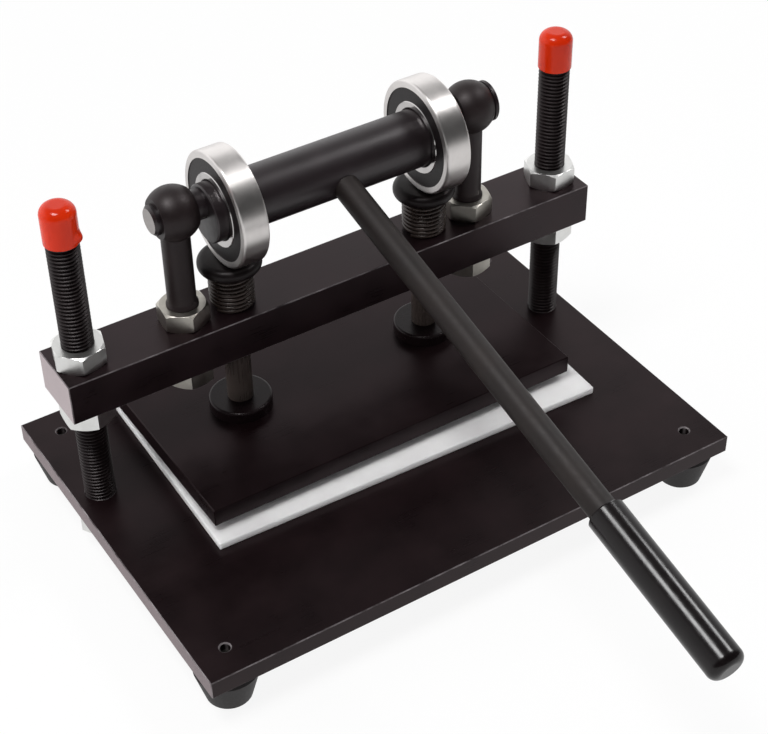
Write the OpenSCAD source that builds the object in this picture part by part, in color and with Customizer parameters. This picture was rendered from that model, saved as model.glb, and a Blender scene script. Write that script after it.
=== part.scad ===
// Manual leather cutting machine
// A hand lever turns an eccentric shaft whose two ball bearings push a sprung press plate
// down on a die. Millimetres, origin on the bench under the middle of the machine, front at -Y.

/* [Base] */

// Width of the base plate, left to right
base_width = 360; // [320:5:420]
// Depth of the base plate, front to back
base_depth = 250; // [230:5:300]
// Thickness of the base plate
base_thickness = 12; // [10:1:16]
// Distance of each foot from the plate's edges
foot_inset = 19; // [19:1:26]
// Height of a rubber foot
foot_height = 26; // [22:1:32]
// Diameter of a foot where it meets the plate
foot_top_diameter = 38; // [34:1:38]
// Diameter of a foot at the bench
foot_bottom_diameter = 27; // [24:1:32]

/* [Posts and beam] */

// Diameter of the threaded posts and the eye bolts' threads
thread_diameter = 19; // [17:1:21]
// Distance of each post from the ends of the plate and the beam
post_inset = 16.5; // [14:0.5:22]
// Height of the posts above the base plate
post_height = 204; // [195:1:240]
// How far the post line stands behind the middle of the base
post_setback = 44.5; // [36:0.5:50]
// Depth of the beam, front to back
beam_depth = 40; // [36:1:48]
// Thickness of the beam
beam_thickness = 27; // [22:1:32]
// Height of the beam's underside above the base plate
beam_clearance = 74; // [68:1:84]
// Height of the hexagon nuts above the beam and under the base
nut_height = 12; // [10:0.5:14]
// Height of the hexagon nuts under the beam
lower_nut_height = 14.5; // [12:0.5:16]
// Width across the flats of the nuts on the posts
post_nut_flats = 28.5; // [26:0.5:32]
// Length of the soft caps on the posts
cap_length = 23.5; // [20:0.5:36]
// Wall of the soft caps
cap_wall = 0.7; // [0.6:0.1:1.6]

/* [Eye bolts and shaft] */

// How far the shaft, eye bolts and press sit to the right of the middle
works_shift = 1.5; // [-3:0.5:3]
// Distance between the two eye bolts
eye_spacing = 198; // [194:1:210]
// Diameter of an eye's ball
eye_diameter = 32.5; // [31:0.5:34]
// Diameter of an eye bolt's plain shank
shank_diameter = 17; // [15:0.5:18]
// Height of the eye's centre above the beam
eye_height = 74.5; // [72:0.5:84]
// Width across the flats of the nuts on the eye bolts
eye_nut_flats = 27; // [25:0.5:30]
// Diameter of the shaft's end pins
pin_diameter = 18; // [15:0.5:18]
// Diameter of the ring on the right pin
stop_ring_diameter = 25; // [23:0.5:28]
// Diameter of the shaft's thick middle
bar_diameter = 35; // [34:1:38]
// Distance between the pins' axis and the middle's axis
eccentricity = 6.5; // [5:0.5:7.5]
// Turn of the eccentric past its lowest point, as pictured
eccentric_turn = 25; // [15:1:35]

/* [Ball bearings] */

// Distance between the middles of the two bearings
bearing_spacing = 134; // [124:1:142]
// Outside diameter of a bearing
bearing_diameter = 70; // [68:1:76]
// Width of a bearing
bearing_width = 16.5; // [15:0.5:19]
// Balls in each bearing
ball_count = 9; // [7:1:9]

/* [Handle] */

// Diameter of the handle's rod
handle_diameter = 16; // [14:0.5:18]
// Reach from the shaft's middle to the end of the grip
handle_reach = 370; // [300:2:400]
// Length of the grip
grip_length = 102; // [80:1:130]
// Wall of the grip
grip_wall = 2.5; // [1.5:0.1:3]
// Slope of the handle below level, as pictured
handle_slope = 13.6; // [5:0.1:20]
// Sideways place of the handle from the shaft's middle
handle_offset = 1.5; // [-10:0.5:10]

/* [Press] */

// Width of the press plate
plate_width = 253; // [230:1:262]
// Depth of the press plate
plate_depth = 150; // [120:1:156]
// Thickness of the press plate
plate_thickness = 12; // [10:1:15]
// Gap between the press plate and the board, as pictured
die_gap = 5; // [4:0.5:10]
// Diameter of a plunger's rod
plunger_diameter = 16; // [14:0.5:17]
// Diameter of a plunger's domed head
head_diameter = 38; // [34:1:40]
// Thickness of a plunger's domed head
head_thickness = 8.5; // [8:0.5:11]
// Diameter of the collar where a plunger meets the plate
collar_diameter = 39; // [30:1:40]
// Thickness of that collar
collar_thickness = 7.5; // [5:0.5:9]
// Outside diameter of a return spring
spring_diameter = 27.5; // [26:0.5:29]
// Diameter of the spring's wire
wire_diameter = 2.4; // [2:0.1:3]
// Least space between the spring's turns
turn_gap = 0.6; // [0.5:0.1:1.2]

/* [Cutting board] */

// Width of the board
board_width = 264; // [250:1:280]
// Depth of the board
board_depth = 166; // [150:1:180]
// Thickness of the board
board_thickness = 5; // [4:0.5:8]
// How far the loose board lies to the right
board_shift = 6.5; // [0:0.5:8]
// How far the loose board lies behind the middle
board_setback = 39.5; // [20:0.5:41]
// Turn of the loose board
board_skew = -1.6; // [-2:0.1:2]

/* [Fits] */

// Clearance on the radius of parts that fit closely
close_fit = 0.05; // [0.02:0.01:0.08]
// Clearance on the radius where the beam slides on its posts
slide_fit = 0.3; // [0.3:0.05:0.5]
// Space kept between a bearing and the plunger under it
bearing_lift = 0.6; // [0.5:0.05:0.9]
// Broken edge of the steel plates
edge_break = 0.5; // [0.4:0.1:1.2]

/* [Hidden] */

$fn = 96;
overcut = 1;
sides = [-1, 1];

base_bottom = foot_height;
base_top = base_bottom + base_thickness;
board_top = base_top + board_thickness;
plate_bottom = board_top + die_gap;
plate_top = plate_bottom + plate_thickness;
beam_bottom = base_top + beam_clearance;
beam_top = beam_bottom + beam_thickness;
post_top = base_top + post_height;
lower_nut_bottom = beam_bottom - lower_nut_height;

post_x = base_width / 2 - post_inset;
thread_radius = thread_diameter / 2;
thread_tip = 2;
post_bottom = base_bottom - nut_height - thread_tip;
post_point = 1.5;
cap_radius = thread_radius + close_fit + cap_wall;
cap_crown = 2.6;
cap_round = 6;

foot_x = base_width / 2 - foot_inset;
foot_y = base_depth / 2 - foot_inset;
foot_round = 2.5;
foot_screw_diameter = 6;
foot_screw_head_diameter = 10;
foot_screw_head_height = 3;
foot_screw_recess = 12;
foot_screw_sink = 5;
foot_hole_edge = 0.7;
foot_hole_radius = foot_screw_diameter / 2 + close_fit;

eye_x = eye_spacing / 2;
eye_z = beam_top + eye_height;
eye_radius = eye_diameter / 2;
eye_face_diameter = pin_diameter + 6;
eye_half = sqrt(eye_radius * eye_radius - eye_face_diameter * eye_face_diameter / 4);
eye_thread_top = beam_top + nut_height + 1;
eye_thread_bottom = lower_nut_bottom - 2 * thread_tip;
eye_flare = thread_radius - shank_diameter / 2;
eye_face = eye_x + eye_half;
pin_stand = 3.8;
pin_edge = 1.5;
ring_space = 0.3;
ring_thickness = 2.5;
ring_end = eye_face + ring_space + ring_thickness;

bar_z = eye_z - eccentricity * cos(eccentric_turn);
bar_radius = bar_diameter / 2;
bar_half = bearing_spacing / 2 + bearing_width / 2 + 6.5;
bar_edge = 0.8;

bearing_x = bearing_spacing / 2;
bearing_radius = bearing_diameter / 2;
bearing_half = bearing_width / 2;
bearing_corner = 1.5;
inner_bevel = 0.4;
ring_span = bearing_radius - bar_radius;
ball_radius = ring_span * 0.3;
ball_circle = (bearing_radius + bar_radius) / 2;
inner_shoulder = bar_radius + ring_span * 0.27;
outer_shoulder = bearing_radius - ring_span * 0.3;
seal_thickness = 1.5;
seal_recess = 0.4;
seal_outer = outer_shoulder + ring_span * 0.05;
seal_ledge = seal_recess + seal_thickness;
cage_half = ball_radius + 0.65;
cage_wall = 3;

handle_tilt = 90 + handle_slope;
handle_radius = handle_diameter / 2;
handle_seat = bar_radius - 2.5;
stub_radius = handle_radius * 0.75;
stub_length = bar_radius;
grip_radius = handle_radius + close_fit + grip_wall;
grip_start = handle_reach - grip_length;
grip_round = 5;
handle_end = handle_reach - grip_wall;
rod_edge = 1;

// Depth from the shaft's middle to the front of the grip, then the places of the base and the works
front_reach = (handle_reach - grip_round) * cos(handle_slope) + grip_round
    + (grip_radius - grip_round) * sin(handle_slope);
bar_setback = post_setback - eccentricity * sin(eccentric_turn);
base_y = (front_reach - bar_setback - base_depth / 2) / 2;
works_y = base_y + post_setback;
bar_y = base_y + bar_setback;

bearing_bottom = bar_z - bearing_radius;
head_top = bearing_bottom - bearing_lift;
head_bottom = head_top - head_thickness;
head_round = head_thickness / 2 - 0.3;
head_seat = head_bottom + head_thickness * 0.65;
plunger_radius = plunger_diameter / 2;
neck_radius = plunger_radius * 0.7;
neck_bottom = head_bottom;
collar_round = collar_thickness * 0.2;
plate_screw_diameter = 8;
plate_screw_head = 15;
plate_screw_depth = 22;
plate_screw_sink = 0.5;

spring_height = head_bottom - beam_top;
spring_radius = spring_diameter / 2 - wire_diameter / 2;
spring_turns = (spring_height - wire_diameter) / (wire_diameter + turn_gap);
turn_rings = 8;
ring_sides = 6;
spring_rings = ceil(spring_turns * turn_rings);

// Corner turn of each nut, as pictured
eye_nut_turns = [24.6, 16];
lower_eye_nut_turns = [8, 12];
post_nut_turns = [14, 8];
lower_post_nut_turns = [27, 15.5];
base_nut_turns = [10, 20];

// Block standing on z = 0 with all its edges broken
module edged_block(width, depth, height, edge) {
    intersection() {
        linear_extrude(height)
            bevelled_rectangle(width, depth, edge);
        translate([0, depth / 2, height / 2])
            rotate([90, 0, 0])
                linear_extrude(depth)
                    bevelled_rectangle(width, height, edge);
        translate([-width / 2, 0, height / 2])
            rotate([90, 0, 90])
                linear_extrude(width)
                    bevelled_rectangle(depth, height, edge);
    }
}

// Centred rectangle with its four corners cut off
module bevelled_rectangle(width, height, edge) {
    x = width / 2;
    y = height / 2;
    polygon([[edge - x, -y], [x - edge, -y], [x, edge - y], [x, y - edge],
        [x - edge, y], [edge - x, y], [-x, y - edge], [-x, edge - y]]);
}

// Round bar standing on z = 0 with both ends bevelled
module bevelled_rod(radius, length, edge) {
    rotate_extrude()
        polygon([[0, 0], [radius - edge, 0], [radius, edge], [radius, length - edge],
            [radius - edge, length], [0, length]]);
}

// Half section of a disc with a rounded rim, standing on y = 0
module rounded_disc_section(radius, thickness, rim) {
    square([radius - rim, thickness]);
    translate([0, rim])
        square([radius, thickness - 2 * rim]);
    for (y = [rim, thickness - rim])
        translate([radius - rim, y])
            circle(rim);
}

// Half section of a flat-bottomed collar rounded over at its top edge, standing on y = 0
module collar_section(radius, thickness, round_over) {
    square([radius - round_over, thickness]);
    square([radius, thickness - round_over]);
    translate([radius - round_over, thickness - round_over])
        intersection() {
            circle(round_over);
            square(round_over);
        }
}

// Hexagon nut standing on z = 0, both faces bevelled at the corners
module hexagon_nut(flats, height, turn) {
    face = flats / 2;
    corner = face / cos(30);
    bevel = (corner - face) * tan(30);
    rotate([0, 0, turn])
        difference() {
            intersection() {
                cylinder(r = corner, h = height, $fn = 6);
                rotate_extrude()
                    polygon([[0, 0], [face, 0], [corner, bevel], [corner, height - bevel],
                        [face, height], [0, height]]);
            }
            translate([0, 0, -overcut])
                cylinder(r = thread_radius + close_fit, h = height + 2 * overcut);
        }
}

module base_plate() {
    color("#2a2728")
        translate([0, base_y, base_bottom])
            difference() {
                edged_block(base_width, base_depth, base_thickness, edge_break);
                for (side = sides)
                    translate([side * post_x, post_setback, -overcut])
                        cylinder(r = thread_radius + close_fit, h = base_thickness + 2 * overcut);
                for (side = sides, end = sides)
                    translate([side * foot_x, end * foot_y, 0]) {
                        translate([0, 0, -overcut])
                            cylinder(r = foot_hole_radius, h = base_thickness + 2 * overcut);
                        translate([0, 0, base_thickness - foot_hole_edge])
                            cylinder(r1 = foot_hole_radius, r2 = foot_hole_radius + 2 * foot_hole_edge,
                                h = 2 * foot_hole_edge);
                    }
            }
}

// Tapered rubber foot, hollow below for its screw
module foot(side, end) {
    top = foot_top_diameter / 2;
    low = foot_bottom_diameter / 2;
    color("#343134")
        translate([side * foot_x, base_y + end * foot_y, 0])
            difference() {
                rotate_extrude() {
                    polygon([[0, 0], [low - foot_round, 0], [low, foot_round],
                        [top, foot_height - foot_round], [top - foot_round / 2, foot_height],
                        [0, foot_height]]);
                }
                translate([0, 0, -overcut])
                    cylinder(r = foot_hole_radius, h = foot_height + 2 * overcut);
                translate([0, 0, -overcut])
                    cylinder(d = foot_screw_head_diameter + 2, h = foot_screw_recess + overcut);
            }
}

module foot_front_left() foot(-1, -1);

module foot_front_right() foot(1, -1);

module foot_back_left() foot(-1, 1);

module foot_back_right() foot(1, 1);

module foot_screws() {
    length = foot_height - foot_screw_recess + base_thickness - foot_screw_sink;
    color("#8d8a86")
        for (side = sides, end = sides)
            translate([side * foot_x, base_y + end * foot_y, foot_screw_recess]) {
                cylinder(d = foot_screw_diameter, h = length);
                translate([0, 0, -foot_screw_head_height])
                    bevelled_rod(foot_screw_head_diameter / 2, foot_screw_head_height, 0.6);
            }
}

module post(side) {
    color("#262324")
        translate([side * post_x, works_y, post_bottom])
            bevelled_rod(thread_radius, post_top - post_bottom, post_point);
}

module post_left() post(-1);

module post_right() post(1);

module post_base_nuts() {
    color("#c9c9c7")
        for (i = [0, 1])
            translate([sides[i] * post_x, works_y, base_bottom - nut_height])
                hexagon_nut(post_nut_flats, nut_height, base_nut_turns[i]);
}

// Soft cap pulled over the end of a post
module post_cap(side) {
    inner = thread_radius + close_fit;
    bottom = post_top + cap_crown - cap_length;
    color("#d8341f")
        translate([side * post_x, works_y, bottom])
            rotate_extrude()
                difference() {
                    union() {
                        square([cap_radius - cap_round, cap_length]);
                        square([cap_radius, cap_length - cap_round]);
                        translate([cap_radius - cap_round, cap_length - cap_round])
                            intersection() {
                                circle(cap_round);
                                square(cap_round);
                            }
                    }
                    translate([0, -overcut])
                        square([inner, cap_length - cap_crown - post_point + overcut]);
                    polygon([[0, 0], [inner, 0], [inner, cap_length - cap_crown - post_point],
                        [inner - post_point, cap_length - cap_crown], [0, cap_length - cap_crown]]);
                }
}

module post_cap_left() post_cap(-1);

module post_cap_right() post_cap(1);

module cutting_board() {
    color("#e6e4e2")
        translate([board_shift, base_y + board_setback, base_top])
            rotate([0, 0, board_skew])
                edged_block(board_width, board_depth, board_thickness, edge_break);
}

module beam() {
    through = beam_thickness + 2 * overcut;
    color("#2a2728")
        translate([0, works_y, beam_bottom])
            difference() {
                edged_block(base_width, beam_depth, beam_thickness, edge_break);
                for (side = sides) {
                    translate([side * post_x, 0, -overcut])
                        cylinder(r = thread_radius + slide_fit, h = through);
                    translate([works_shift + side * eye_x, 0, -overcut])
                        cylinder(r = thread_radius + close_fit, h = through);
                    translate([works_shift + side * bearing_x, 0, -overcut])
                        cylinder(r = plunger_radius + close_fit, h = through);
                }
            }
}

module post_nut(side, bottom, height, turn) {
    color("#c9c9c7")
        translate([side * post_x, works_y, bottom])
            hexagon_nut(post_nut_flats, height, turn);
}

module post_nut_upper_left() post_nut(-1, beam_top, nut_height, post_nut_turns[0]);

module post_nut_upper_right() post_nut(1, beam_top, nut_height, post_nut_turns[1]);

module post_nut_lower_left() post_nut(-1, lower_nut_bottom, lower_nut_height, lower_post_nut_turns[0]);

module post_nut_lower_right() post_nut(1, lower_nut_bottom, lower_nut_height, lower_post_nut_turns[1]);

// Bolt whose ball end carries one end pin of the shaft
module eye_bolt(side) {
    thread_length = eye_thread_top - eye_thread_bottom;
    color("#2b2828")
        translate([works_shift + side * eye_x, works_y, 0])
            difference() {
                union() {
                    translate([0, 0, eye_z])
                        intersection() {
                            sphere(eye_radius);
                            cube([2 * eye_half, eye_diameter, eye_diameter], center = true);
                        }
                    translate([0, 0, eye_thread_top])
                        cylinder(d = shank_diameter, h = eye_z - eye_thread_top);
                    translate([0, 0, eye_thread_top])
                        cylinder(r1 = thread_radius, r2 = shank_diameter / 2, h = 2 * eye_flare);
                    translate([0, 0, eye_thread_bottom])
                        rotate_extrude()
                            polygon([[0, 0], [thread_radius - post_point, 0], [thread_radius, post_point],
                                [thread_radius, thread_length], [0, thread_length]]);
                }
                translate([-eye_diameter, 0, eye_z])
                    rotate([0, 90, 0])
                        cylinder(r = pin_diameter / 2 + close_fit, h = 2 * eye_diameter);
            }
}

module eye_bolt_left() eye_bolt(-1);

module eye_bolt_right() eye_bolt(1);

module eye_nuts_upper() {
    color("#8f8c84")
        for (i = [0, 1])
            translate([works_shift + sides[i] * eye_x, works_y, beam_top])
                hexagon_nut(eye_nut_flats, nut_height, eye_nut_turns[i]);
}

module eye_nuts_lower() {
    color("#8f8c84")
        for (i = [0, 1])
            translate([works_shift + sides[i] * eye_x, works_y, lower_nut_bottom])
                hexagon_nut(eye_nut_flats, lower_nut_height, lower_eye_nut_turns[i]);
}

// Places its children along the axis of the shaft's thick middle, z turned to x
module on_bar(x) {
    translate([works_shift + x, bar_y, bar_z])
        rotate([0, 90, 0])
            children();
}

// Places its children along the handle, z pointing at the grip
module on_handle() {
    translate([works_shift + handle_offset, bar_y, bar_z])
        rotate([handle_tilt, 0, 0])
            children();
}

module eccentric_shaft() {
    color("#2b2828")
        difference() {
            union() {
                on_bar(-bar_half)
                    bevelled_rod(bar_radius, 2 * bar_half, bar_edge);
                translate([works_shift - eye_face - pin_stand, works_y, eye_z])
                    rotate([0, 90, 0])
                        bevelled_rod(pin_diameter / 2, eye_face + pin_stand + ring_end, pin_edge);
            }
            on_handle()
                translate([0, 0, handle_seat])
                    cylinder(r = handle_radius + close_fit, h = bar_radius);
            on_handle()
                translate([0, 0, handle_seat - stub_length])
                    cylinder(r = stub_radius + close_fit, h = bar_diameter);
        }
}

// Ring that keeps the shaft from sliding out to the left
module stop_ring() {
    color("#2b2828")
        translate([works_shift + eye_face + ring_space, works_y, eye_z])
            rotate([0, 90, 0])
                difference() {
                    bevelled_rod(stop_ring_diameter / 2, ring_thickness, edge_break / 2);
                    translate([0, 0, -overcut])
                        cylinder(r = pin_diameter / 2 + close_fit, h = ring_thickness + 2 * overcut);
                }
}

module handle_rod() {
    color("#2b2828")
        on_handle() {
            translate([0, 0, handle_seat])
                bevelled_rod(handle_radius, handle_end - handle_seat, rod_edge);
            translate([0, 0, handle_seat - stub_length])
                bevelled_rod(stub_radius, stub_length + rod_edge, rod_edge);
        }
}

module handle_grip() {
    bore = handle_radius + close_fit;
    depth = handle_end - grip_start;
    color("#161416")
        on_handle()
            translate([0, 0, grip_start])
                rotate_extrude()
                    difference() {
                        union() {
                            polygon([[0, 0], [grip_radius - rod_edge, 0], [grip_radius, rod_edge],
                                [grip_radius, grip_length - grip_round], [0, grip_length - grip_round]]);
                            square([grip_radius - grip_round, grip_length]);
                            translate([grip_radius - grip_round, grip_length - grip_round])
                                circle(grip_round);
                        }
                        translate([0, -overcut])
                            square([bore, depth - rod_edge + overcut]);
                        polygon([[0, 0], [bore, 0], [bore, depth - rod_edge],
                            [bore - rod_edge, depth], [0, depth]]);
                    }
}

// Half section of a bearing ring between two radii, its ball groove cut and its free corners rounded
module ring_section(inner, outer, corner_radius) {
    difference() {
        union() {
            translate([inner, bearing_corner - bearing_half])
                square([outer - inner, bearing_width - 2 * bearing_corner]);
            translate([inner + (corner_radius == inner ? bearing_corner : 0), -bearing_half])
                square([outer - inner - bearing_corner, bearing_width]);
            for (y = sides)
                translate([corner_radius == inner ? inner + bearing_corner : outer - bearing_corner,
                    y * (bearing_half - bearing_corner)])
                    circle(bearing_corner);
        }
        translate([ball_circle, 0])
            circle(ball_radius + close_fit);
    }
}

module bearing_inner(side) {
    color("#cfcfcf")
        on_bar(side * bearing_x)
            rotate_extrude()
                difference() {
                    ring_section(bar_radius + close_fit, inner_shoulder, bar_radius + close_fit);
                    for (y = sides)
                        translate([inner_shoulder, y * bearing_half])
                            rotate([0, 0, 45])
                                square(inner_bevel * sqrt(2), center = true);
                }
}

module bearing_inner_left() bearing_inner(-1);

module bearing_inner_right() bearing_inner(1);

module bearing_outer(side) {
    color("#bfbfbd")
        on_bar(side * bearing_x)
            rotate_extrude()
                difference() {
                    ring_section(outer_shoulder, bearing_radius, bearing_radius);
                    for (y = sides)
                        translate([0, y * bearing_half])
                            square([2 * seal_outer, 2 * seal_ledge], center = true);
                }
}

module bearing_outer_left() bearing_outer(-1);

module bearing_outer_right() bearing_outer(1);

module bearing_seals(side) {
    inner = inner_shoulder + close_fit;
    color("#1c1a1b")
        on_bar(side * bearing_x)
            for (y = sides)
                translate([0, 0, y * (bearing_half - seal_ledge + seal_thickness / 2)])
                    difference() {
                        cylinder(r = seal_outer - close_fit, h = seal_thickness, center = true);
                        cylinder(r = inner, h = 2 * seal_thickness, center = true);
                    }
}

module bearing_seals_left() bearing_seals(-1);

module bearing_seals_right() bearing_seals(1);

// Places one child per ball round a bearing
module at_balls(side) {
    on_bar(side * bearing_x)
        for (i = [0 : ball_count - 1])
            rotate([0, 0, i * 360 / ball_count])
                translate([ball_circle, 0, 0])
                    children();
}

module bearing_balls(side) {
    color("#d8d8d8")
        at_balls(side)
            sphere(ball_radius);
}

module bearing_balls_left() bearing_balls(-1);

module bearing_balls_right() bearing_balls(1);

module bearing_cage(side) {
    color("#9a978f")
        difference() {
            on_bar(side * bearing_x)
                difference() {
                    cylinder(r = ball_circle + cage_wall / 2, h = 2 * cage_half, center = true);
                    cylinder(r = ball_circle - cage_wall / 2, h = bearing_width, center = true);
                }
            at_balls(side)
                rotate([0, 90, 0])
                    cylinder(r = ball_radius + close_fit, h = 4 * cage_wall, center = true);
        }
}

module bearing_cage_left() bearing_cage(-1);

module bearing_cage_right() bearing_cage(1);

module press_plate() {
    through = plate_thickness + 2 * overcut;
    color("#2a2728")
        translate([works_shift, works_y, plate_bottom])
            difference() {
                edged_block(plate_width, plate_depth, plate_thickness, edge_break);
                for (side = sides)
                    translate([side * bearing_x, 0, 0]) {
                        translate([0, 0, -overcut])
                            cylinder(d = plate_screw_diameter + 2 * close_fit, h = through);
                        plate_screw_seat(plate_screw_sink, close_fit);
                    }
            }
}

// Countersink for a plunger's screw, its mouth at z = 0, grown by a fit
module plate_screw_seat(sink, fit) {
    flare = (plate_screw_head - plate_screw_diameter) / 2;
    translate([0, 0, sink])
        cylinder(r1 = plate_screw_head / 2 + fit, r2 = plate_screw_diameter / 2 + fit, h = flare);
    translate([0, 0, -overcut])
        cylinder(r = plate_screw_head / 2 + fit, h = sink + overcut);
}

module plunger_screws() {
    flare = (plate_screw_head - plate_screw_diameter) / 2;
    length = plate_thickness + plate_screw_depth - plate_screw_sink;
    color("#8d8a86")
        for (side = sides)
            translate([works_shift + side * bearing_x, works_y, plate_bottom + plate_screw_sink]) {
                cylinder(r1 = plate_screw_head / 2, r2 = plate_screw_diameter / 2, h = flare);
                cylinder(d = plate_screw_diameter, h = length - 2);
            }
}

// Rod with its foot collar, tapped below for its screw and necked above for its head
module plunger(side) {
    color("#2b2828")
        translate([works_shift + side * bearing_x, works_y, 0])
            difference() {
                union() {
                    translate([0, 0, plate_top])
                        rotate_extrude()
                            collar_section(collar_diameter / 2, collar_thickness, collar_round);
                    translate([0, 0, plate_top])
                        cylinder(r = plunger_radius, h = neck_bottom - plate_top);
                    translate([0, 0, neck_bottom - overcut])
                        cylinder(r = neck_radius, h = head_seat - neck_bottom + overcut);
                }
                translate([0, 0, plate_top - overcut])
                    cylinder(d = plate_screw_diameter + 2 * close_fit, h = plate_screw_depth + overcut);
            }
}

module plunger_left() plunger(-1);

module plunger_right() plunger(1);

// Domed head that the bearing rolls on, hollow below for the plunger's neck
module plunger_head(side) {
    color("#2b2828")
        translate([works_shift + side * bearing_x, works_y, head_bottom])
            difference() {
                rotate_extrude()
                    rounded_disc_section(head_diameter / 2, head_thickness, head_round);
                translate([0, 0, -overcut])
                    cylinder(r = neck_radius + close_fit, h = head_seat - head_bottom + overcut);
            }
}

module plunger_head_left() plunger_head(-1);

module plunger_head_right() plunger_head(1);

// Point k on ring i of the spring's wire
function wire_point(i, k) =
    let (turn = 360 * spring_turns * i / spring_rings,
        around = 90 + 360 * k / ring_sides,
        reach = spring_radius + wire_diameter / 2 * cos(around),
        rise = wire_diameter / 2 + (spring_height - wire_diameter) * i / spring_rings)
    [reach * cos(turn), reach * sin(turn), rise + wire_diameter / 2 * sin(around)];

function wire_points() =
    [for (i = [0 : spring_rings], k = [0 : ring_sides - 1]) wire_point(i, k)];

// Least distance between points of the wire that lie more than half a turn apart
function wire_gap() =
    min([for (i = [0 : spring_rings], j = [i + turn_rings / 2 : 1 : spring_rings],
        k = [0 : ring_sides - 1], m = [0 : ring_sides - 1])
        norm(wire_point(i, k) - wire_point(j, m))]);

function wire_faces() =
    let (last = spring_rings * ring_sides)
    concat(
        [for (i = [0 : spring_rings - 1], k = [0 : ring_sides - 1])
            let (a = i * ring_sides + k, b = i * ring_sides + (k + 1) % ring_sides)
            [a, b, b + ring_sides]],
        [for (i = [0 : spring_rings - 1], k = [0 : ring_sides - 1])
            let (a = i * ring_sides + k, b = i * ring_sides + (k + 1) % ring_sides)
            [a, b + ring_sides, a + ring_sides]],
        [for (k = [1 : ring_sides - 2]) [0, k + 1, k]],
        [for (k = [1 : ring_sides - 2]) [last, last + k, last + k + 1]]);

// Return spring, one unbroken wire between the beam and a plunger's head
module spring(side) {
    echo(spring_turns = spring_turns, spring_least_gap = wire_gap());
    color("#1d1b1c")
        translate([works_shift + side * bearing_x, works_y, beam_top])
            polyhedron(wire_points(), wire_faces());
}

module spring_left() spring(-1);

module spring_right() spring(1);

base_plate();
foot_front_left();
foot_front_right();
foot_back_left();
foot_back_right();
foot_screws();
post_left();
post_right();
post_base_nuts();
post_cap_left();
post_cap_right();
cutting_board();
beam();
post_nut_upper_left();
post_nut_upper_right();
post_nut_lower_left();
post_nut_lower_right();
eye_bolt_left();
eye_bolt_right();
eye_nuts_upper();
eye_nuts_lower();
eccentric_shaft();
stop_ring();
handle_rod();
handle_grip();
bearing_inner_left();
bearing_inner_right();
bearing_outer_left();
bearing_outer_right();
bearing_seals_left();
bearing_seals_right();
bearing_balls_left();
bearing_balls_right();
bearing_cage_left();
bearing_cage_right();
press_plate();
plunger_left();
plunger_right();
plunger_head_left();
plunger_head_right();
plunger_screws();
spring_left();
spring_right();
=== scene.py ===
"""Looks of the manual leather cutting machine: finishes, threads, springs, light and camera."""

import math

import bmesh
import bpy
from mathutils import Matrix, Vector


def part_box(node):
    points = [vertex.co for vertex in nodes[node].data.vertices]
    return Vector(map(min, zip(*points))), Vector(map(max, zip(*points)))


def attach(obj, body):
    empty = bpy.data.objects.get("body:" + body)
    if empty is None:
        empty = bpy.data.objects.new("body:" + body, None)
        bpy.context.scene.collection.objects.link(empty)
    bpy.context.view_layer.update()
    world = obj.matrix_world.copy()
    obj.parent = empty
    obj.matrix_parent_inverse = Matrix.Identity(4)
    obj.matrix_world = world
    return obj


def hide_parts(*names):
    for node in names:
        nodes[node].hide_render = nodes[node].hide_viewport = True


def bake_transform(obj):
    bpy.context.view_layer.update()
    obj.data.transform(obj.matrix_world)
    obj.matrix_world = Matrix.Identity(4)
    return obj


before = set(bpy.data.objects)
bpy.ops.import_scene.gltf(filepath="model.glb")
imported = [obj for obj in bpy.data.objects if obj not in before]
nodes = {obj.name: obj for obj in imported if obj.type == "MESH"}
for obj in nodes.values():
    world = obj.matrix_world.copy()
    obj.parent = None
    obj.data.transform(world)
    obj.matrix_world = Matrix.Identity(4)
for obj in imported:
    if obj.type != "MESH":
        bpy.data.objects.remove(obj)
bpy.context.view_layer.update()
scene = bpy.context.scene
MM = 0.001
SIDES = ("left", "right")


# Shader helpers


def colour(code):
    """Linear RGBA of an sRGB hex colour."""
    parts = [int(code[i : i + 2], 16) / 255 for i in (1, 3, 5)]
    linear = [c / 12.92 if c <= 0.04045 else ((c + 0.055) / 1.055) ** 2.4 for c in parts]
    return (*linear, 1.0)


def feed(tree, node, inputs):
    """Gives a node its inputs: a socket is linked, any other value is set."""
    for key, value in inputs.items():
        if isinstance(value, bpy.types.NodeSocket):
            tree.links.new(value, node.inputs[key])
        else:
            node.inputs[key].default_value = value


def add(tree, kind, inputs, output, **settings):
    """Adds one shader node with its settings and links, and returns one of its outputs."""
    made = tree.nodes.new("ShaderNode" + kind)
    for key, value in settings.items():
        setattr(made, key, value)
    feed(tree, made, inputs)
    return made.outputs[output]


def material(name):
    """A new material with one Principled shader; returns it, its tree and the shader."""
    made = bpy.data.materials.new(name)
    made.use_nodes = True
    tree = made.node_tree
    return made, tree, tree.nodes["Principled BSDF"]


# Places of the colour sockets on a Mix node
SHARE, FIRST, SECOND, MIXED = 0, 6, 7, 2
# Noise of three depths of detail, and the middle range that most of its values lie in
PLAIN_NOISE = {"Detail": 2.0, "Roughness": 0.55}
CLOUD_NOISE = {"Detail": 3.0, "Roughness": 0.55}
DEEP_NOISE = {"Detail": 4.0, "Roughness": 0.55}
MIDDLE = {"From Min": 0.3, "From Max": 0.7}
WHITE = (1.0, 1.0, 1.0, 1.0)


# Blackened steel

# Sizes in millimetres: clouds left by the blackening bath, pits, rubbed edges and their bare patches.
# Real pits are finer, and are drawn this coarse so that they show.
BATH_CLOUD = 33.3
PIT = 1.11
EDGE_WEAR = 0.7
BARE_PATCH = 12.5
# The film is dull and partly hides the metal under it
FILM_METAL = 0.35
# How much duller or shinier the surface lines and the clouds are than the whole
LINES_DULL = (-0.03, 0.04)
BATH_DULL = (-0.03, 0.05)
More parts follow.
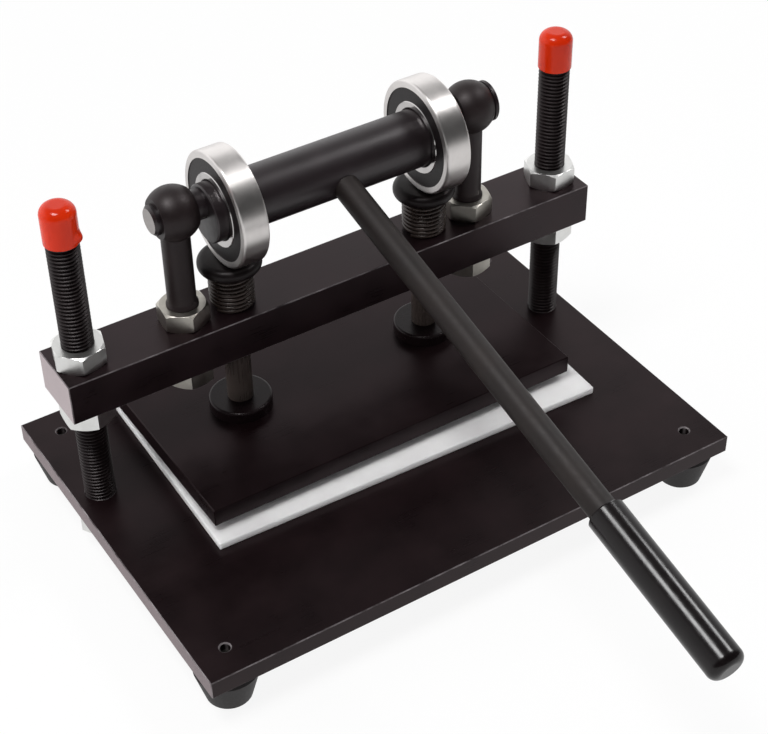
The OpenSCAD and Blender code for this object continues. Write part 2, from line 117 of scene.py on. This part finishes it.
# Sawn end faces lose most of the film, up to this share, in the last millimetre at either end
SAWN_SHARE = 0.9
SAWN_START = 1.0
SAWN_FULL = 0.5


def rubbed_edges(tree, place):
    """How bare each edge is: on its slanted break and just beside it, in patches along it."""
    rounded = add(tree, "Bevel", {"Radius": EDGE_WEAR * MM}, "Normal", samples=6)
    flat = add(tree, "NewGeometry", {}, "Normal")
    agree = add(tree, "VectorMath", {0: rounded, 1: flat}, "Value", operation="DOT_PRODUCT")
    beside_range = {"From Min": 0.8, "From Max": 0.99, "To Min": 1.0, "To Max": 0.0}
    beside = add(tree, "MapRange", {"Value": agree, **beside_range}, "Result")
    normal = add(tree, "TexCoord", {}, "Normal")
    tilts = [add(tree, "SeparateXYZ", {0: normal}, axis) for axis in "XYZ"]
    sizes = [add(tree, "Math", {0: tilt}, 0, operation="ABSOLUTE") for tilt in tilts]
    across = add(tree, "Math", {0: sizes[0], 1: sizes[1]}, 0, operation="MAXIMUM")
    widest = add(tree, "Math", {0: across, 1: sizes[2]}, 0, operation="MAXIMUM")
    broken_range = {"From Min": 0.75, "From Max": 0.95, "To Min": 1.0, "To Max": 0.0}
    broken = add(tree, "MapRange", {"Value": widest, **broken_range}, "Result")
    corner = add(tree, "Math", {0: beside, 1: broken}, 0, operation="MAXIMUM")
    patch = add(tree, "TexNoise", {"Vector": place, "Scale": 1 / (BARE_PATCH * MM), **DEEP_NOISE}, "Fac")
    patch_range = {"From Min": 0.35, "From Max": 0.65, "To Min": 0.15, "To Max": 1.0}
    patchy = add(tree, "MapRange", {"Value": patch, **patch_range}, "Result")
    return add(tree, "Math", {0: corner, 1: patchy}, 0, operation="MULTIPLY")


def sawn_ends(tree, place, node):
    """How bare a node's two end faces are, at its far left and far right."""
    low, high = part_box(node)
    middle_x = (low.x + high.x) / 2
    half = (high.x - low.x) / 2
    normal = add(tree, "TexCoord", {}, "Normal")
    normal_x = add(tree, "SeparateXYZ", {0: normal}, "X")
    sideways = add(tree, "Math", {0: normal_x}, 0, operation="ABSOLUTE")
    along = add(tree, "SeparateXYZ", {0: place}, "X")
    off = add(tree, "Math", {0: along, 1: middle_x}, 0, operation="SUBTRACT")
    away = add(tree, "Math", {0: off}, 0, operation="ABSOLUTE")
    end_range = {"From Min": half - SAWN_START * MM, "From Max": half - SAWN_FULL * MM}
    outer = add(tree, "MapRange", {"Value": away, **end_range}, "Result")
    face_range = {"From Min": 0.95, "From Max": 0.99, "To Max": SAWN_SHARE}
    facing = add(tree, "MapRange", {"Value": sideways, **face_range}, "Result")
    return add(tree, "Math", {0: outer, 1: facing}, 0, operation="MULTIPLY")


def black_oxide(
    name, dark, light, roughness, grain, gloss, skin=0.004, film="#ffffff", edges=None, ends=None, node=None
):
    """Blackened steel: a dark satin film over tool marks; edges and sawn ends may be rubbed bare.

    The grain is the width of the marks along x, y and z and the skin their depth, in millimetres.
    """
    made, tree, shader = material(name)
    place = add(tree, "TexCoord", {}, "Object")
    drawn = add(tree, "Mapping", {"Vector": place, "Scale": [1 / (size * MM) for size in grain]}, "Vector")
    lines = add(tree, "TexNoise", {"Vector": drawn, "Scale": 1.0, **PLAIN_NOISE}, "Fac")
    cloud = add(tree, "TexNoise", {"Vector": place, "Scale": 1 / (BATH_CLOUD * MM), **DEEP_NOISE}, "Fac")
    pits = add(tree, "TexNoise", {"Vector": place, "Scale": 1 / (PIT * MM), **PLAIN_NOISE}, "Fac")
    share = add(tree, "MapRange", {"Value": cloud, **MIDDLE}, "Result")
    shades = {SHARE: share, FIRST: colour(dark), SECOND: colour(light)}
    shade = add(tree, "Mix", shades, MIXED, data_type="RGBA")
    metal = FILM_METAL
    if edges:
        worn = rubbed_edges(tree, place)
        shades = {SHARE: worn, FIRST: shade, SECOND: colour(edges)}
        shade = add(tree, "Mix", shades, MIXED, data_type="RGBA")
    if ends:
        bare = sawn_ends(tree, place, node)
        shades = {SHARE: bare, FIRST: shade, SECOND: colour(ends)}
        shade = add(tree, "Mix", shades, MIXED, data_type="RGBA")
        metal = add(tree, "MapRange", {"Value": bare, "To Min": FILM_METAL, "To Max": 1.0}, "Result")
    line_range = {**MIDDLE, "To Min": LINES_DULL[0], "To Max": LINES_DULL[1]}
    line_dull = add(tree, "MapRange", {"Value": lines, **line_range}, "Result")
    bath_range = {**MIDDLE, "To Min": roughness + BATH_DULL[0], "To Max": roughness + BATH_DULL[1]}
    bath_dull = add(tree, "MapRange", {"Value": cloud, **bath_range}, "Result")
    height = add(tree, "Math", {0: lines, 1: pits}, 0)
    settings = {
        "Base Color": shade,
        "Metallic": metal,
        "Roughness": add(tree, "Math", {0: line_dull, 1: bath_dull}, 0),
        "Specular IOR Level": gloss,
        "Specular Tint": colour(film),
        "Normal": add(tree, "Bump", {"Height": height, "Distance": skin * MM, "Strength": 1.0}, "Normal"),
    }
    feed(tree, shader, settings)
    return made


# Widths in millimetres of tool marks along x, y and z.
# The real ones are a few hundredths of a millimetre wide, and are drawn this coarse so that they show.
GROUND_ALONG = (50, 0.833, 0.833)
TURNED = (1.11, 4, 4)
FORGED = (3.33, 3.33, 3.33)
SLID_UPRIGHT = (1.43, 1.43, 50)
ROLLED = (2.86, 2.86, 2.86)
CUT_THREAD = (2, 2, 10)
DRAWN_WIRE = (2.5, 2.5, 2.5)
# Depth in millimetres of marks that sliding or fine turning has nearly polished away
SMOOTH_SKIN = 0.0005
# Grey of steel that shows on rubbed edges
RUBBED = "#857f81"

# Base plate: ground flat stock, a soft long sheen with faintly warm reflections and greyer sawn ends
base_black = black_oxide(
    "base black oxide",
    dark="#140b0d",
    light="#1f1416",
    roughness=0.31,
    grain=GROUND_ALONG,
    gloss=0.28,
    film="#fff1f3",
    edges=RUBBED,
    ends="#7d797b",
    node="base_plate",
)
# Beam: the same stock, a little glossier, with bright sawn ends
beam_black = black_oxide(
    "beam black oxide",
    dark="#150b0e",
    light="#211518",
    roughness=0.31,
    grain=GROUND_ALONG,
    gloss=0.42,
    film="#ffeef1",
    edges=RUBBED,
    ends="#c0bdbe",
    node="beam",
)
# Press plate: ground and blackened all round, so its edges stay dark
press_black = black_oxide(
    "press plate black oxide",
    dark="#11080a",
    light="#1b1113",
    roughness=0.31,
    grain=GROUND_ALONG,
    gloss=0.28,
    film="#ffeaee",
)
# Eccentric shaft: turned and blackened, a broad highlight along it and bare pin ends
shaft_black = black_oxide(
    "turned shaft oxide",
    dark="#1a1114",
    light="#251b1f",
    roughness=0.38,
    grain=TURNED,
    gloss=1.0,
    ends="#a8a3a1",
    node="eccentric_shaft",
)
# Stop ring: turned and blackened, a plain dark disc
ring_black = black_oxide(
    "turned ring oxide", dark="#1a1114", light="#251b1f", roughness=0.36, grain=TURNED, gloss=0.5
)
# Eye bolts: forged and blackened, a soft sheen with no sharp highlight
forged_black = black_oxide(
    "forged black oxide", dark="#1b1213", light="#261c1d", roughness=0.46, grain=FORGED, gloss=0.5
)
# Plunger heads: forged and blackened, coloured darker than the eye bolts, the darkest pieces
head_black = black_oxide(
    "forged head oxide", dark="#110b0c", light="#181112", roughness=0.40, grain=FORGED, gloss=0.3
)
# Plunger rods: burnished, streaked upright, and paler partly as painted light under the beam's shadow
plunger_burnish_and_painted_light = black_oxide(
    "burnished plunger steel with painted light",
    dark="#2c2523",
    light="#4e4541",
    roughness=0.26,
    grain=SLID_UPRIGHT,
    gloss=0.6,
    skin=SMOOTH_SKIN,
)
# Plunger collars: finely turned and blackened, as dark as the plate that they stand on
collar_black = black_oxide(
    "turned collar oxide",
    dark="#140c0e",
    light="#1f1618",
    roughness=0.28,
    grain=FORGED,
    gloss=0.3,
    skin=SMOOTH_SKIN,
)
# Handle rod: rolled bar, blackened, dull with a brown cast
rod_black = black_oxide(
    "dull rod oxide", dark="#150e0d", light="#201816", roughness=0.54, grain=ROLLED, gloss=0.55
)
# Posts: cut threads, blackened and oiled, with a fine light on each rib
thread_black = black_oxide(
    "thread black oxide", dark="#170f10", light="#221819", roughness=0.38, grain=CUT_THREAD, gloss=0.4
)
# Springs: oiled drawn wire, brownish with a bright line on each turn
wire_black = black_oxide(
    "oiled spring wire", dark="#241c1a", light="#382e2a", roughness=0.26, grain=DRAWN_WIRE, gloss=0.6
)


# Bare and plated steel

# Size in millimetres of the faint stains on it, and how much they change its roughness
STAIN = 8.33
STAIN_DULL = 0.02
# A quarter turn lays the smear of light across the turning marks
ACROSS = 0.25


def bright_steel(name, dark, light, roughness, grain, streak, turned=0.0):
    """Steel without a film: bright, with fine tool marks; a turned one smears the light sideways."""
    made, tree, shader = material(name)
    place = add(tree, "TexCoord", {}, "Object")
    drawn = add(tree, "Mapping", {"Vector": place, "Scale": [1 / (size * MM) for size in grain]}, "Vector")
    lines = add(tree, "TexNoise", {"Vector": drawn, "Scale": 1.0, **PLAIN_NOISE}, "Fac")
    cloud = add(tree, "TexNoise", {"Vector": place, "Scale": 1 / (STAIN * MM), **CLOUD_NOISE}, "Fac")
    share = add(tree, "MapRange", {"Value": cloud, **MIDDLE}, "Result")
    shades = {SHARE: share, FIRST: colour(dark), SECOND: colour(light)}
    line_range = {**MIDDLE, "To Min": -streak, "To Max": streak}
    line_dull = add(tree, "MapRange", {"Value": lines, **line_range}, "Result")
    stain_range = {**MIDDLE, "To Min": roughness - STAIN_DULL, "To Max": roughness + STAIN_DULL}
    stain_dull = add(tree, "MapRange", {"Value": cloud, **stain_range}, "Result")
    settings = {
        "Base Color": add(tree, "Mix", shades, MIXED, data_type="RGBA"),
        "Metallic": 1.0,
        "Roughness": add(tree, "Math", {0: line_dull, 1: stain_dull}, 0),
    }
    feed(tree, shader, settings)
    if turned:
        round_x = add(tree, "Tangent", {}, 0, direction_type="RADIAL", axis="X")
        feed(tree, shader, {"Tangent": round_x, "Anisotropic": turned, "Anisotropic Rotation": ACROSS})
    return made


# Widths in millimetres of marks on bare and plated steel, drawn coarse as above
BARREL_PLATED = (2.5, 2.5, 10)
GROUND_ROUND = (1.11, 16.7, 16.7)
HANDLED = (1.67, 1.67, 1.67)

# Post nuts: bright zinc plate, almost white with soft facets
zinc = bright_steel(
    "bright zinc", dark="#e0e0de", light="#ececea", roughness=0.34, grain=BARREL_PLATED, streak=0.03
)
# Eye bolt nuts: older zinc plate, greyer and warmer
dull_zinc = bright_steel(
    "dull zinc", dark="#aeaaa2", light="#c0bcb4", roughness=0.34, grain=BARREL_PLATED, streak=0.03
)
# Bearing outer rings: ground steel that smears the lamps into bands round the ring
ground_steel = bright_steel(
    "ground bearing steel",
    dark="#dad6d4",
    light="#e4e0de",
    roughness=0.38,
    grain=GROUND_ROUND,
    streak=0.01,
    turned=0.65,
)
# Bearing inner rings and balls: polished steel that mirrors the dark shaft beside it
polished_steel = bright_steel(
    "polished ring steel", dark="#b9b6b5", light="#c6c3c2", roughness=0.14, grain=GROUND_ROUND, streak=0.01
)
# Screws and ball cages: steel coloured dark as painted shade of the holes and gaps where they sit
steel_darkened_as_painted_shade = bright_steel(
    "steel darkened as painted shade", dark="#4a4745", light="#5c5957", roughness=0.42, grain=HANDLED, streak=0.03
)


# Plastics and rubber

# Size in millimetres of the faint clouds in the melt, and how far light travels in milky plastic
MELT_CLOUD = 20
MILKY_REACH = 8
# How much duller or shinier the skin's grain is than the whole
SKIN_DULL = (-0.03, 0.04)


def moulded(name, dark, light, roughness, grain, depth, gloss, milky=0.0):
    """Dipped or moulded plastic or rubber: even colour under a fine skin, milky where light soaks in.

    The grain is the width of the skin's marks and the depth their height, in millimetres.
    """
    made, tree, shader = material(name)
    place = add(tree, "TexCoord", {}, "Object")
    skin = add(tree, "TexNoise", {"Vector": place, "Scale": 1 / (grain * MM), **PLAIN_NOISE}, "Fac")
    cloud = add(tree, "TexNoise", {"Vector": place, "Scale": 1 / (MELT_CLOUD * MM), **CLOUD_NOISE}, "Fac")
    share = add(tree, "MapRange", {"Value": cloud, **MIDDLE}, "Result")
    shades = {SHARE: share, FIRST: colour(dark), SECOND: colour(light)}
    skin_range = {**MIDDLE, "To Min": roughness + SKIN_DULL[0], "To Max": roughness + SKIN_DULL[1]}
    settings = {
        "Base Color": add(tree, "Mix", shades, MIXED, data_type="RGBA"),
        "Roughness": add(tree, "MapRange", {"Value": skin, **skin_range}, "Result"),
        "Normal": add(tree, "Bump", {"Height": skin, "Distance": depth * MM, "Strength": 1.0}, "Normal"),
        "Specular IOR Level": gloss,
        "Subsurface Weight": milky,
        "Subsurface Radius": (1.0, 1.0, 1.0),
        "Subsurface Scale": MILKY_REACH * MM,
    }
    feed(tree, shader, settings)
    return made


# Post caps: dipped vinyl, a smooth red with small sharp highlights
red_vinyl = moulded(
    "red dipped vinyl", dark="#c22707", light="#cd2f0a", roughness=0.17, grain=4, depth=0.002, gloss=0.25
)
# Grip: dipped vinyl, glossy black with long narrow highlights
black_vinyl = moulded(
    "black dipped vinyl", dark="#0b0708", light="#120d0e", roughness=0.21, grain=4, depth=0.001, gloss=0.36
)
# Cutting board: sawn polyethylene, milky white and slightly matt, so that its edges glow a little
white_board = moulded(
    "white board plastic",
    dark="#e4e2e3",
    light="#ecebeb",
    roughness=0.45,
    grain=1.25,
    depth=0.004,
    gloss=0.4,
    milky=1.0,
)
# Feet: moulded rubber, dull black
foot_rubber = moulded(
    "foot rubber", dark="#100b0c", light="#161112", roughness=0.58, grain=1.43, depth=0.01, gloss=0.4
)
# Bearing seals: smoother moulded rubber, a flat black ring
seal_rubber = moulded(
    "seal rubber", dark="#120e0f", light="#191415", roughness=0.42, grain=1.11, depth=0.004, gloss=0.25
)

FINISH = {
    base_black: ["base_plate"],
    beam_black: ["beam"],
    press_black: ["press_plate"],
    shaft_black: ["eccentric_shaft"],
    ring_black: ["stop_ring"],
    rod_black: ["handle_rod"],
    forged_black: ["eye_bolt_left", "eye_bolt_right"],
    head_black: ["plunger_head_left", "plunger_head_right"],
    # The rods' paler colour is partly burnish and partly painted light
    plunger_burnish_and_painted_light: ["plunger_left", "plunger_right"],
    thread_black: ["post_left", "post_right"],
    wire_black: ["spring_left", "spring_right"],
    zinc: [
        "post_base_nuts",
        "post_nut_upper_left",
        "post_nut_upper_right",
        "post_nut_lower_left",
        "post_nut_lower_right",
    ],
    dull_zinc: ["eye_nuts_upper", "eye_nuts_lower"],
    ground_steel: ["bearing_outer_left", "bearing_outer_right"],
    polished_steel: [
        "bearing_inner_left",
        "bearing_inner_right",
        "bearing_balls_left",
        "bearing_balls_right",
    ],
    # Screws and cages: dark as painted shade of their holes and gaps
    steel_darkened_as_painted_shade: ["foot_screws", "plunger_screws", "bearing_cage_left", "bearing_cage_right"],
    red_vinyl: ["post_cap_left", "post_cap_right"],
    black_vinyl: ["handle_grip"],
    white_board: ["cutting_board"],
    foot_rubber: ["foot_front_left", "foot_front_right", "foot_back_left", "foot_back_right"],
    seal_rubber: ["bearing_seals_left", "bearing_seals_right"],
}
for finish, names in FINISH.items():
    for name in names:
        nodes[name].data.materials.clear()
        nodes[name].data.materials.append(finish)

# A height just above the collars' tops: faces below it take the collars' finish
COLLAR = 8 * MM
for side in SIDES:
    mesh = nodes["plunger_" + side].data
    mesh.materials.append(collar_black)
    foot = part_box("plunger_" + side)[0].z
    for face in mesh.polygons:
        if face.center.z < foot + COLLAR:
            face.material_index = 1


# Added pieces


def piece(name, points, faces, finish, sharp):
    """A mesh object in the row frame, smooth except at edges sharper than an angle in degrees."""
    mesh = bpy.data.meshes.new(name)
    mesh.from_pydata(points, [], faces)
    work = bmesh.new()
    work.from_mesh(mesh)
    bmesh.ops.recalc_face_normals(work, faces=work.faces)
    work.to_mesh(mesh)
    work.free()
    mesh.shade_smooth()
    mesh.set_sharp_from_angle(angle=math.radians(sharp))
    mesh.materials.append(finish)
    made = bpy.data.objects.new(name, mesh)
    scene.collection.objects.link(made)
    return made


FULL_TURN = 2 * math.pi
# The posts' thread: its pitch and depth, and where in each pitch the groove ends and the crest lies
PITCH = 2.5 * MM
THREAD_DEPTH = 1.35 * MM
GROOVE_END = 0.25
CREST_START = 0.55
CREST_END = 0.70
THREAD_SEGMENTS = 30
THREAD_SHARP = 25


def threaded_rod(name, node):
    """A rod with a real helical thread in the place of a plain CAD rod."""
    low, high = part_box(node)
    x = (low.x + high.x) / 2
    y = (low.y + high.y) / 2
    crest = (high.x - low.x) / 2
    root = crest - THREAD_DEPTH
    profile = [(0.0, root), (GROOVE_END, root), (CREST_START, crest), (CREST_END, crest)]
    row = len(profile)
    rings = (int((high.z - low.z) / PITCH) - 1) * THREAD_SEGMENTS
    points = []
    faces = []
    for i in range(rings + 1):
        turn = FULL_TURN * i / THREAD_SEGMENTS
        for part, radius in profile:
            z = low.z + PITCH * (i / THREAD_SEGMENTS + part)
            points.append((x + radius * math.cos(turn), y + radius * math.sin(turn), z))
    for i in range(rings):
        here = row * i
        beside = here + row
        for k in range(row - 1):
            faces.append((here + k, beside + k, beside + k + 1, here + k + 1))
        if i + 1 + THREAD_SEGMENTS <= rings:
            above = here + row * THREAD_SEGMENTS
            faces.append((here + row - 1, beside + row - 1, above + row, above))
    start = len(points)
    for z in (low.z, high.z):
        for j in range(THREAD_SEGMENTS):
            turn = FULL_TURN * j / THREAD_SEGMENTS
            points.append((x + root * math.cos(turn), y + root * math.sin(turn), z))
    top = start + THREAD_SEGMENTS
    for j in range(THREAD_SEGMENTS):
        k = (j + 1) % THREAD_SEGMENTS
        faces.append((start + j, start + k, top + k, top + j))
    faces.append(tuple(range(start, top)))
    faces.append(tuple(range(top, top + THREAD_SEGMENTS)))
    made = piece(name, points, faces, thread_black, THREAD_SHARP)
    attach(made, "base")
    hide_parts(node)


for side in SIDES:
    threaded_rod("post_thread_" + side, "post_" + side)

# The springs' wire radius, their turns, the part of a turn closed at each end and its rise in one turn
WIRE = 1.2 * MM
TURNS = 8.0
CLOSED = 0.75
CLOSED_RISE = 1.06 * 2 * WIRE
# Where round the plunger the wire starts, the steps in one turn and the wire's own sides
WIRE_START = math.radians(200)
WIRE_STEPS = 48
WIRE_SIDES = 12
SOFT_SHARP = 60


def coil_spring(name, node, finish):
    """A smooth wound wire with closed end turns; it stretches between the beam and the plunger's head."""
    low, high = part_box(node)
    x = (low.x + high.x) / 2
    y = (low.y + high.y) / 2
    radius = (high.x - low.x) / 2 - WIRE
    length = high.z - low.z - 2 * WIRE
    total = int(TURNS * WIRE_STEPS)
    ends = CLOSED_RISE * CLOSED
    points = []
    faces = []
    for i in range(total + 1):
        turn = i / WIRE_STEPS
        if turn < CLOSED:
            rise = CLOSED_RISE * turn
        elif turn > TURNS - CLOSED:
            rise = length - CLOSED_RISE * (TURNS - turn)
        else:
            rise = ends + (length - 2 * ends) * (turn - CLOSED) / (TURNS - 2 * CLOSED)
        angle = FULL_TURN * turn + WIRE_START
        for k in range(WIRE_SIDES):
            around = FULL_TURN * k / WIRE_SIDES
            reach = radius + WIRE * math.cos(around)
            z = low.z + WIRE + rise + WIRE * math.sin(around)
            points.append((x + reach * math.cos(angle), y + reach * math.sin(angle), z))
    for i in range(total):
        for k in range(WIRE_SIDES):
            a = i * WIRE_SIDES + k
            b = i * WIRE_SIDES + (k + 1) % WIRE_SIDES
            faces.append((a, b, b + WIRE_SIDES, a + WIRE_SIDES))
    faces.append(tuple(range(WIRE_SIDES)))
    faces.append(tuple(range(total * WIRE_SIDES, (total + 1) * WIRE_SIDES)))
    made = piece(name, points, faces, finish, SOFT_SHARP)
    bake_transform(made)
    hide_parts(node)


for side in SIDES:
    coil_spring("wound_spring_" + side, "spring_" + side, wire_black)

# The run of vinyl: steps of its grid, how deep its rim sits in the cap, and how far its belly hangs down
DRIP_STEPS = 18
DRIP_SUNK = 0.15 * MM
DRIP_SAG = 1.7


def vinyl_drip(name, node, heading, rise, width, height, depth):
    """A run of vinyl left on a dipped cap: a swelling of its wall that is fullest near its lower end."""
    low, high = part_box(node)
    x = (low.x + high.x) / 2
    y = (low.y + high.y) / 2
    radius = (high.x - low.x) / 2
    row = DRIP_STEPS + 1
    points = []
    faces = []
    for i in range(row):
        down = i / DRIP_STEPS
        for j in range(row):
            across = 2 * j / DRIP_STEPS - 1
            swell = math.sin(math.pi * down**DRIP_SAG) * math.cos(math.pi * across / 2) ** 2
            turn = heading + across * width / 2 / radius
            reach = radius - DRIP_SUNK + (depth + DRIP_SUNK) * swell
            z = low.z + rise + height * (0.5 - down)
            points.append((x + reach * math.cos(turn), y + reach * math.sin(turn), z))
    for i in range(DRIP_STEPS):
        for j in range(DRIP_STEPS):
            a = i * row + j
            faces.append((a, a + 1, a + row + 1, a + row))
    rim = list(range(row))
    rim += [i * row + DRIP_STEPS for i in range(1, row)]
    rim += [DRIP_STEPS * row + j for j in range(DRIP_STEPS - 1, -1, -1)]
    rim += [i * row for i in range(DRIP_STEPS - 1, 0, -1)]
    inside = radius - 4 * DRIP_SUNK
    points.append((x + inside * math.cos(heading), y + inside * math.sin(heading), low.z + rise))
    for k, start in enumerate(rim):
        faces.append((start, rim[(k + 1) % len(rim)], len(points) - 1))
    made = piece(name, points, faces, red_vinyl, SOFT_SHARP)
    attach(made, "base")


vinyl_drip(
    "post_cap_drip",
    "post_cap_left",
    heading=math.radians(-44),
    rise=4.6 * MM,
    width=13 * MM,
    height=9 * MM,
    depth=1.9 * MM,
)


# Stage: pale floor, soft light, camera

# The table's half width in metres, and the size in millimetres of the faint clouds in its paint
TABLE_HALF = 6.0
TABLE_CLOUD = 100
TABLE_SHARP = 30
# How white the table is where it is mirrored
TABLE_MIRRORED = 0.85
# To the camera it is nearly pure white near the machine, so that it keeps the shadow, and white far off;
# the distances are in metres
TABLE_WHITE = {"From Min": 0.5, "From Max": 1.2, "To Min": 0.9, "To Max": 1.0}


def table_paint():
    """White painted table: pure white to the camera except for a faint shadow, lit plainly otherwise."""
    made, tree, shader = material("white table")
    place = add(tree, "TexCoord", {}, "Object")
    cloud = add(tree, "TexNoise", {"Vector": place, "Scale": 1 / (TABLE_CLOUD * MM), **PLAIN_NOISE}, "Fac")
    shades = {SHARE: cloud, FIRST: colour("#f2f2f2"), SECOND: colour("#f7f7f7")}
    feed(
        tree,
        shader,
        {"Base Color": add(tree, "Mix", shades, MIXED, data_type="RGBA"), "Roughness": 0.7},
    )
    seen = add(tree, "LightPath", {}, "Is Camera Ray")
    mirrored = add(tree, "LightPath", {}, "Is Glossy Ray")
    bright = add(tree, "MapRange", {"Value": mirrored, "To Min": 1.0, "To Max": TABLE_MIRRORED}, "Result")
    glow = add(tree, "Emission", {"Color": WHITE, "Strength": bright}, "Emission")
    spot = add(tree, "NewGeometry", {}, "Position")
    away = add(tree, "VectorMath", {0: spot}, "Value", operation="LENGTH")
    whiteness = add(tree, "MapRange", {"Value": away, **TABLE_WHITE}, "Result")
    plain = add(tree, "Math", {0: seen, 1: whiteness}, 0, operation="MULTIPLY")
    share = add(tree, "Math", {0: mirrored, 1: plain}, 0, operation="MAXIMUM")
    both = add(tree, "MixShader", {0: share, 1: shader.outputs["BSDF"], 2: glow}, "Shader")
    feed(tree, tree.nodes["Material Output"], {"Surface": both})
    return made


table_corners = [
    (-TABLE_HALF, -TABLE_HALF, 0),
    (TABLE_HALF, -TABLE_HALF, 0),
    (TABLE_HALF, TABLE_HALF, 0),
    (-TABLE_HALF, TABLE_HALF, 0),
]
floor = piece("table", table_corners, [(0, 1, 2, 3)], table_paint(), TABLE_SHARP)

# The room is brightest low at the back and dark in front; the camera itself sees white
ROOM_BACK = {"From Min": -0.2, "From Max": 0.6}
ROOM_LOW = {"From Min": 0.55, "From Max": 0.72, "To Min": 1.2, "To Max": 0.28}
ROOM_LEAST = 0.06

world = bpy.data.worlds.new("studio")
scene.world = world
world.use_nodes = True
room_tree = world.node_tree
room = room_tree.nodes["Background"]
direction = add(room_tree, "TexCoord", {}, "Generated")
toward_back = add(room_tree, "SeparateXYZ", {0: direction}, "Y")
upward = add(room_tree, "SeparateXYZ", {0: direction}, "Z")
back_side = add(room_tree, "MapRange", {"Value": toward_back, **ROOM_BACK}, "Result")
low_part = add(room_tree, "MapRange", {"Value": upward, **ROOM_LOW}, "Result")
backdrop = add(room_tree, "Math", {0: back_side, 1: low_part, 2: ROOM_LEAST}, 0, operation="MULTIPLY_ADD")
feed(room_tree, room, {"Color": WHITE, "Strength": backdrop})
white = add(room_tree, "Background", {"Color": WHITE, "Strength": 1.0}, "Background")
by_camera = add(room_tree, "LightPath", {}, "Is Camera Ray")
sky = add(room_tree, "MixShader", {0: by_camera, 1: room.outputs["Background"], 2: white}, "Shader")
feed(room_tree, room_tree.nodes["World Output"], {"Surface": sky})

# The point that the lamps aim at, in metres
AIM = Vector((0.0, 0.1, 0.1))


def softbox(name, place, width, height, power, mirrored=True):
    """A rectangular lamp, in metres and watts; one that isn't mirrored only fills."""
    lamp = bpy.data.lights.new(name, "AREA")
    lamp.shape = "RECTANGLE"
    lamp.size = width
    lamp.size_y = height
    lamp.energy = power
    made = bpy.data.objects.new(name, lamp)
    made.location = place
    made.rotation_euler = (AIM - Vector(place)).to_track_quat("-Z", "Y").to_euler()
    made.visible_glossy = mirrored
    scene.collection.objects.link(made)


softbox("left key", (-0.75, -0.08, 2.15), width=0.85, height=0.6, power=31)
softbox("right key", (1.21, -0.04, 1.62), width=0.4, height=0.45, power=10)
softbox("left fill", (-1.2, 0.8, 0.12), width=1.2, height=0.22, power=8, mirrored=False)
softbox("front fill", (-0.1, -1.4, 0.35), width=1.2, height=0.3, power=6, mirrored=False)

# The photograph's camera: its frame, focal length and optical middle in pixels, its place in metres
PHOTO_WIDTH = 768
PHOTO_HEIGHT = 734
FOCAL = 1806.03
OPTICAL_X = 368.62
OPTICAL_Y = 370.0
SENSOR = 36.0
CAMERA_PLACE = (-0.43377, -0.61566, 0.78238)
AZIMUTH = math.radians(-31.28)
ELEVATION = math.radians(39.81)
ROLL = math.radians(-1.41)
FAR = 50

camera_data = bpy.data.cameras.new("camera")
camera_data.sensor_fit = "HORIZONTAL"
camera_data.sensor_width = SENSOR
camera_data.lens = SENSOR * FOCAL / PHOTO_WIDTH
camera_data.shift_x = (PHOTO_WIDTH / 2 - OPTICAL_X) / PHOTO_WIDTH
camera_data.shift_y = (OPTICAL_Y - PHOTO_HEIGHT / 2) / PHOTO_WIDTH
camera_data.clip_end = FAR
camera = bpy.data.objects.new("camera", camera_data)
level = math.cos(ELEVATION)
back = Vector((math.sin(AZIMUTH) * level, -math.cos(AZIMUTH) * level, math.sin(ELEVATION)))
level_right = Vector((math.cos(AZIMUTH), math.sin(AZIMUTH), 0))
level_up = back.cross(level_right)
right = level_right * math.cos(ROLL) + level_up * math.sin(ROLL)
up = level_up * math.cos(ROLL) - level_right * math.sin(ROLL)
facing = Matrix((right, up, back)).transposed().to_4x4()
camera.matrix_world = Matrix.Translation(CAMERA_PLACE) @ facing
scene.collection.objects.link(camera)
scene.camera = camera
scene.view_settings.view_transform = "Standard"
